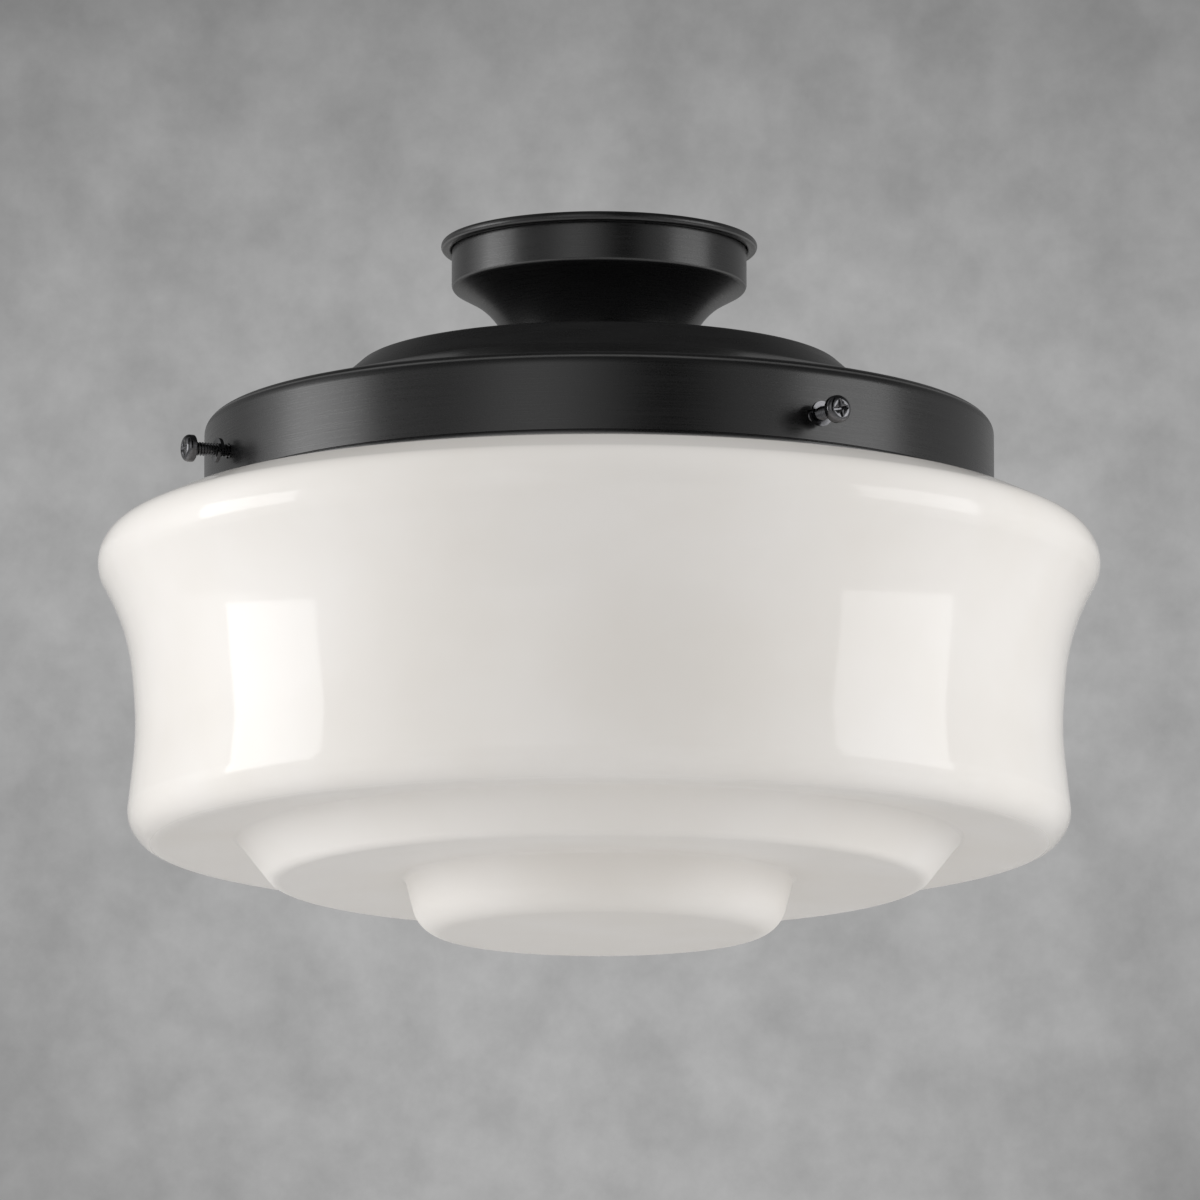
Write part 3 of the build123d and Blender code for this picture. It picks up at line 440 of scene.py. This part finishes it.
def windPiece(name, outline, pitch, turns, steps=32):
    # winds a closed section round z along a screw line and caps its two ends
    drawChain(name, outline, True)
    bpy.ops.object.mode_set(mode="OBJECT")
    winding = bpy.context.object.modifiers.new("winding", "SCREW")
    winding.screw_offset, winding.iterations = pitch / 1000, turns
    winding.steps = winding.render_steps = steps
    bpy.ops.object.modifier_apply(modifier="winding")
    bpy.ops.object.mode_set(mode="EDIT")
    bpy.ops.mesh.select_all(action="SELECT")
    bpy.ops.mesh.fill_holes(sides=0)
    return closeMesh()


def skin(corners, wall, least=0.3):
    # the other face of a sheet, on the right of these corners as they are drawn, with no radius under the least
    lines = []
    for (ax, az, _), (bx, bz, _) in zip(corners, corners[1:]):
        share = wall / hypot(bx - ax, bz - az)
        lines.append((ax + share * (bz - az), az - share * (bx - ax), bx - ax, bz - az))
    inner = []
    for (px, pz, ux, uz), (qx, qz, vx, vz), (_, _, radius) in zip(lines, lines[1:], corners[1:]):
        across = ux * vz - uz * vx
        share = ((qx - px) * vz - (qz - pz) * vx) / across
        rounded = radius + wall if across > 0 else max(radius - wall, least)
        inner.append((px + share * ux, pz + share * uz, rounded))
    return inner


def setPiece(piece, matrix):
    # puts a piece that was made round z at its place, and keeps its object at the origin
    piece.matrix_world = matrix
    bpy.ops.object.select_all(action="DESELECT")
    piece.select_set(True)
    bpy.context.view_layer.objects.active = piece
    bpy.ops.object.transform_apply(location=True, rotation=True, scale=True)


def cutAway(piece, cutter):
    # takes the cutter's shape out of a piece
    bpy.ops.object.select_all(action="DESELECT")
    bpy.context.view_layer.objects.active = piece
    cut = piece.modifiers.new("cut", "BOOLEAN")
    cut.object, cut.operation, cut.solver = cutter, "DIFFERENCE", "EXACT"
    bpy.ops.object.modifier_apply(modifier="cut")
    bpy.data.objects.remove(cutter)


def boreHole(piece, centre, way, radius, depth, sides=64):
    # drills a round hole along a direction; millimetres in
    turn = Vector(way).to_track_quat("Z", "Y").to_euler()
    bpy.ops.mesh.primitive_cylinder_add(vertices=sides, radius=radius / 1000, depth=depth / 1000,
                                        location=Vector(centre) / 1000, rotation=turn)
    cutAway(piece, bpy.context.object)


def joinPieces(first, *others):
    bpy.ops.object.select_all(action="DESELECT")
    for piece in (first, *others):
        piece.select_set(True)
    bpy.context.view_layer.objects.active = first
    bpy.ops.object.join()
    return first


def copyPiece(piece, name):
    # a copy with its own mesh
    twin = piece.copy()
    twin.data = piece.data.copy()
    twin.name = name
    bpy.context.collection.objects.link(twin)
    return twin


def dress(piece, body, finish, slot, *nodes):
    piece.data.materials.clear()
    piece.data.materials.append(finishes[finish])
    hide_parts(*nodes)
    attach(piece, body)
    return piece


def outward(angle):
    # the level way out from the axis; nought faces the front, and plus is to the right
    return Vector((sin(radians(angle)), -cos(radians(angle)), 0))


# shade: a hooked lip, a broad shoulder, a slight waist and two steps; (reach, height, corner radius) in mm
glass = {
    "wall": 3.8, "lipReach": 134.6, "lipTop": -77.585, "lipFoot": -82.585, "lipEdge": 2.3, "lipRoot": 0.6,
    "bottom": -249.6, "arcStep": 4.0,
    "section": [(131.0, -97.5, 4.0), (154.4, -97.9, 18.0), (183.19, -110.9, 13.8), (166.5, -140.3, 80.0),
                (163.4, -177.3, 117.0), (168.1, -219.6, 12.0), (128.1, -214.9, 2.1), (115.3, -230.9, 6.2),
                (68.6, -228.6, 2.1), (63.5, -248.7, 11.8)],
}


def makeGlass():
    wall, edge = glass["wall"], glass["lipEdge"]
    neck = glass["section"][0][0]
    outer = [(neck, glass["lipFoot"], glass["lipRoot"]), *glass["section"], (0, glass["bottom"], 0)]
    lip = [(neck - wall, glass["lipTop"], edge), (glass["lipReach"], glass["lipTop"], edge),
           (glass["lipReach"], glass["lipFoot"], edge)]
    section = [(0, glass["bottom"] + wall, 0), *skin(outer, wall)[::-1], *lip, *outer]
    piece = turnPiece("glassShade", section, loop=False, arcStep=glass["arcStep"])
    return dress(piece, "shade", "opalGlass", "opal_glass", "glass_shade")


# pan: flat dome, sloping ledge and upright band, its foot rolled into a hem under a fine groove
pan = {
    "sheet": 1.2, "bore": 5.3, "face": [(84.7, -45.1, 4.2), (96.3, -55.4, 2.4), (140.1, -67.1, 5.1)],
    "grooveTop": -93.85, "grooveDepth": 0.35, "grooveRadius": 0.12,
    "hemTop": -94.45, "hemFoot": -96.0, "hemOut": 140.35, "hemIn": 138.25,
    "hemTopRadius": 0.3, "hemRadius": 0.95, "hemInRadius": 0.4, "lapRise": 0.3, "lapRadius": 0.3,
    "screwHole": 2.715, "screwDrill": 12, "groundHole": 2.05, "groundDrill": 6, "groundX": 18.0,
}
shadeScrews = {"angles": [-68.0, 32.0, 162.0], "height": -85.3, "start": 132.9}


def makePan():
    top, band = pan["face"][0][1], pan["face"][-1][0]
    groove = pan["grooveTop"]
    face = [(pan["bore"], top, 0), *pan["face"], (band, groove, 0)]
    inner = skin(face, pan["sheet"])[::-1]
    middle = (groove + pan["hemTop"]) / 2
    hem = [(band - pan["grooveDepth"], middle, pan["grooveRadius"]),
           (pan["hemOut"], pan["hemTop"], pan["hemTopRadius"]),
           (pan["hemOut"], pan["hemFoot"], pan["hemRadius"]), (pan["hemIn"], pan["hemFoot"], pan["hemRadius"]),
           (pan["hemIn"], pan["hemTop"], pan["hemInRadius"]),
           (band - pan["sheet"], groove + pan["lapRise"], pan["lapRadius"])]
    piece = turnPiece("fitterPan", [*face, *hem, *inner, (pan["bore"], top - pan["sheet"], 0)])
    for angle in shadeScrews["angles"]:
        way = outward(angle)
        centre = way * band + Vector((0, 0, shadeScrews["height"]))
        boreHole(piece, centre, way, pan["screwHole"], pan["screwDrill"])
    boreHole(piece, (pan["groundX"], 0, top), (0, 0, 1), pan["groundHole"], pan["groundDrill"])
    return dress(piece, "fitting", "satinBlack", "black_metal", "fitter_pan")


# canopy: a straight side, a cove and a neck under a rolled rim
cup = {
    "sheet": 1.2, "bore": 5.3, "foot": -45.1,
    "face": [(52.5, -16.9, 2.2), (35.9, -25.9, 29.0), (32.5, -37.6, 9.7), (31.0, -45.1, 1.2)],
    "rimOut": 56.3, "rimFoot": -3.4, "rimRadius": 1.68, "rimIn": 52.9, "rimInRadius": 1.2,
}


def makeCanopy():
    side = cup["face"][0][0]
    face = [(side, 0, 0), *cup["face"], (cup["bore"], cup["foot"], 0)]
    inner = skin(face, cup["sheet"])[::-1]
    rim = [(side - cup["sheet"], 0, 0), (cup["rimOut"], 0, cup["rimRadius"]),
           (cup["rimOut"], cup["rimFoot"], cup["rimRadius"]),
           (cup["rimIn"], cup["rimFoot"], cup["rimInRadius"]),
           (side, cup["rimFoot"] + cup["rimInRadius"], 0)]
    piece = turnPiece("canopyCup", [*rim, *face[1:], (cup["bore"], cup["foot"] + cup["sheet"], 0), *inner])
    return dress(piece, "fitting", "satinBlack", "black_metal", "canopy")


# shade screw, made upright on its end: real helical thread, pan head and a cross recess
screw = {
    "root": 1.95, "crest": 2.415, "pitch": 1.058, "threadStart": 0.6, "turns": 17, "length": 20.1, "sides": 64,
    "headReach": 4.8, "headHeight": 3.7, "headFoot": 0.5, "headEdge": 2.0,
    "socket": (1.0, 2.45), "padGap": 0.03, "endEdge": 0.3,
    "recessLength": 6.2, "recessWidth": 1.25, "recessDepth": 2.3, "recessTaper": 8.0, "recessTurn": 12.0,
    "recessAbove": 0.2,
}
# a thread's ridge: where its parts end, in shares of a pitch, and how far it is sunk into the core, in mm
ridge = {"flank": 0.32, "flatEnd": 0.45, "end": 0.77, "sunk": 0.12}


def ridgeOutline(root, crest, pitch, start):
    low = root - ridge["sunk"]
    rise, fall, end = [start + ridge[share] * pitch for share in ("flank", "flatEnd", "end")]
    return [(low, start), (root, start), (crest, rise), (crest, fall), (root, end), (low, end)]


def cutRecess(piece, top):
    # two crossed tapered slots, their cutters started just above the head
    length, width, taper = screw["recessLength"], screw["recessWidth"], tan(radians(screw["recessTaper"]))
    drop = screw["recessDepth"] + screw["recessAbove"]
    narrow = 2 * drop * taper
    for wing in (0, 90):
        bpy.ops.object.select_all(action="DESELECT")
        bpy.ops.mesh.primitive_plane_add(size=0.001, location=(0, 0, (top + screw["recessAbove"]) / 1000))
        slot = bpy.context.object
        bpy.ops.object.mode_set(mode="EDIT")
        bpy.ops.transform.resize(value=(length, width, 1))
        bpy.ops.mesh.extrude_region_move(TRANSFORM_OT_translate={"value": (0, 0, -drop / 1000)})
        bpy.ops.transform.resize(value=((length - narrow) / length, (width - narrow) / width, 1))
        closeMesh()
        slot.rotation_euler.z = radians(screw["recessTurn"] + wing)
        cutAway(piece, slot)


def makeShadeScrews():
    radius, depth = screw["socket"]
    top = screw["length"] + screw["headHeight"]
    end = screw["padGap"]
    body = [(0, depth, 0), (radius, depth, 0), (radius, end, 0), (screw["root"], end, screw["endEdge"]),
            (screw["root"], screw["length"], 0), (screw["headReach"], screw["length"], screw["headFoot"]),
            (screw["headReach"], top, screw["headEdge"]), (0, top, 0)]
    master = turnPiece("screwMaster", body, loop=False, steps=screw["sides"])
    cutRecess(master, top)
    outline = ridgeOutline(screw["root"], screw["crest"], screw["pitch"], screw["threadStart"])
    thread = windPiece("thread", outline, screw["pitch"], screw["turns"])
    joinPieces(master, thread)
    for number, angle in enumerate(shadeScrews["angles"], 1):
        way, up = outward(angle), Vector((0, 0, 1))
        place = Matrix((up, way.cross(up), way)).transposed().to_4x4()
        place.translation = (way * shadeScrews["start"] + up * shadeScrews["height"]) / 1000
        piece = copyPiece(master, f"panHeadScrew{number}")
        setPiece(piece, place)
        dress(piece, f"screw_{number}", "blackNickel", "black_nickel", f"shade_screw_{number}")
    bpy.data.objects.remove(master)


# nipple: hollow threaded tube that carries the light
tube = {
    "bore": 3.3, "root": 4.5, "crest": 5.0, "pitch": 0.94, "turns": 59,
    "end": -57.0, "edge": 0.25, "sides": 64,
}


def makeNipple():
    edge, end = tube["edge"], tube["end"]
    wall = [(tube["bore"], 0, edge), (tube["root"], 0, edge), (tube["root"], end, edge), (tube["bore"], end, edge)]
    core = turnPiece("nippleTube", wall, steps=tube["sides"])
    outline = ridgeOutline(tube["root"], tube["crest"], tube["pitch"], end + tube["pitch"] / 2)
    thread = windPiece("thread", outline, tube["pitch"], tube["turns"])
    dress(joinPieces(core, thread), "fitting", "zincSteel", "zinc_steel", "nipple")


makeGlass()
makePan()
makeCanopy()
print("shade, pan and canopy turned")
makeShadeScrews()
makeNipple()
print("threads wound")
for piece in bpy.data.objects:
    if piece.type == "MESH" and piece.name not in frame["nodes"]:
        print(piece.name, len(piece.data.vertices), "points")


# soft studio light: turn and lift in degrees, distance, width and height in metres, watts, shows in gloss
lampAim = Vector((0, 0, -0.14))
lamps = {
    "leftSoftbox": (-83.5, 6.4, 1.6, 0.82, 0.63, 4.1, True),
    "rightSoftbox": (74.5, 6.2, 1.6, 0.96, 0.76, 4.2, True),
    "leftFill": (-71.0, 3.0, 2.2, 1.4, 1.2, 23.0, False),
    "rightFill": (77.0, 3.0, 2.2, 1.4, 1.2, 18.5, False),
    "topFill": (0.0, 88.0, 2.2, 1.4, 1.2, 7.0, False),
}
# a grey surround that is seen but doesn't light, darker to its edges; the ambient light is apart from it
surround = {
    "tone": 0.398, "across": 0.055, "middle": 0.17, "reach": 0.054,
    "sideFall": 0.035, "topFall": 0.125, "cornerFall": 0.07,
    "mottle": 0.13, "mottleScale": 125.0, "mottleDetail": 5.0, "mottleRough": 0.62,
    "ambient": 0.498, "ambientTone": (1, 0.995, 0.985), "darkFrom": 0.30, "darkTo": 0.75, "darkShare": 0.8,
}
# what glossy pieces see of the room behind the camera: where it turns brighter or darker, and how wide
room = [{"turn": -19.0, "half": 27.0, "change": 0.58}, {"turn": 20.0, "half": 20.0, "change": -0.32},
        {"turn": 48.0, "half": 14.0, "change": 0.15}, {"turn": -100.0, "half": 26.0, "change": 0.9}]
ground = {"half": 9.0, "level": -1.35, "tone": 0.785, "lighter": 1.04, "patchScale": 3.0, "rough": 0.8}


def placeLamps():
    for name, (turn, lift, distance, wide, tall, watts, inGloss) in lamps.items():
        turn, lift = radians(turn), radians(lift)
        way = Vector((sin(turn) * cos(lift), -cos(turn) * cos(lift), sin(lift)))
        bpy.ops.object.light_add(type="AREA", location=lampAim + way * distance)
        made = bpy.context.object
        made.name = name
        made.rotation_euler = (-way).to_track_quat("-Z", "Y").to_euler()
        made.data.shape = "RECTANGLE"
        made.data.size, made.data.size_y = wide, tall
        made.data.energy = watts
        made.visible_camera, made.visible_glossy = False, inGloss


def makeSurround():
    world = bpy.data.worlds.new("surround")
    bpy.context.scene.world = world
    sheet = Finish("surround", world)
    seen = sheet.node("ShaderNodeTexCoord", out=0)
    side, height = [sheet.node("ShaderNodeSeparateXYZ", sockets={0: seen}, out=i) for i in (0, 2)]
    aside = sheet.band((side / surround["across"]).only("ABSOLUTE"), 0, 1)
    above = sheet.band((height - surround["middle"]) / surround["reach"], 0, 1)
    below = sheet.band((surround["middle"] - height) / surround["reach"], 0, 1)
    tone = surround["tone"] - aside * aside * surround["sideFall"] - above * above * surround["topFall"]
    tone = tone - aside * aside * below * below * surround["cornerFall"]
    mottle = sheet.grain(seen, surround["mottleScale"], surround["mottleDetail"], surround["mottleRough"])
    mottle = sheet.band(mottle, *wideCut, -1, 1)
    tone = tone * (1 + mottle * surround["mottle"])
    forward = sheet.node("ShaderNodeSeparateXYZ", sockets={0: seen}, out=1)
    turn = sheet.node("ShaderNodeMath", {"operation": "ARCTAN2"}, {0: side, 1: 0 - forward})
    mirrored = tone
    for patch in room:
        off = (turn - radians(patch["turn"])).only("ABSOLUTE") / radians(patch["half"])
        near = sheet.band(off, 0, 1, 1, 0)
        mirrored = mirrored + near * near * (3 - near * 2) * patch["change"]
    dark = sheet.band(height, surround["darkFrom"], surround["darkTo"])
    mirrored = mirrored * (1 - dark * surround["darkShare"])
    glossRay = sheet.node("ShaderNodeLightPath", out="Is Glossy Ray")
    tone = tone + (mirrored - tone) * glossRay
    shown = sheet.node("ShaderNodeBackground",
                       sockets={"Color": sheet.vector(tone, tone, tone), "Strength": 1.0})
    light = sheet.node("ShaderNodeBackground",
                       sockets={"Color": rgb(*surround["ambientTone"]), "Strength": surround["ambient"]})
    cameraRay = sheet.node("ShaderNodeLightPath", out="Is Camera Ray")
    clearRay = sheet.node("ShaderNodeLightPath", out="Is Transmission Ray")
    direct = (cameraRay + glossRay + clearRay) > 0.5
    both = sheet.node("ShaderNodeMixShader", sockets={0: direct, 1: light, 2: shown})
    sheet.node("ShaderNodeOutputWorld", sockets={"Surface": both})


def makeGround():
    bpy.ops.mesh.primitive_plane_add(size=2 * ground["half"], location=(0, 0, ground["level"]))
    floor = bpy.context.object
    floor.name = "studioFloor"
    sheet = Finish("paleFloor")
    spot, _ = sheet.place()
    patches = sheet.grain(spot, ground["patchScale"])
    tone = sheet.mix(patches, grey(ground["tone"]), grey(ground["tone"] * ground["lighter"]))
    plain = sheet.node("ShaderNodeBsdfPrincipled", sockets={"Base Color": tone, "Roughness": ground["rough"]})
    under = sheet.node("ShaderNodeNewGeometry", out="Backfacing")
    clear = sheet.node("ShaderNodeBsdfTransparent")
    shader = sheet.node("ShaderNodeMixShader", sockets={0: under, 1: plain, 2: clear})
    sheet.node("ShaderNodeOutputMaterial", sockets={"Surface": shader})
    floor.data.materials.append(sheet.owner)


placeLamps()
makeSurround()
makeGround()
bpy.context.scene.view_settings.view_transform = "Standard"
print("studio ready")
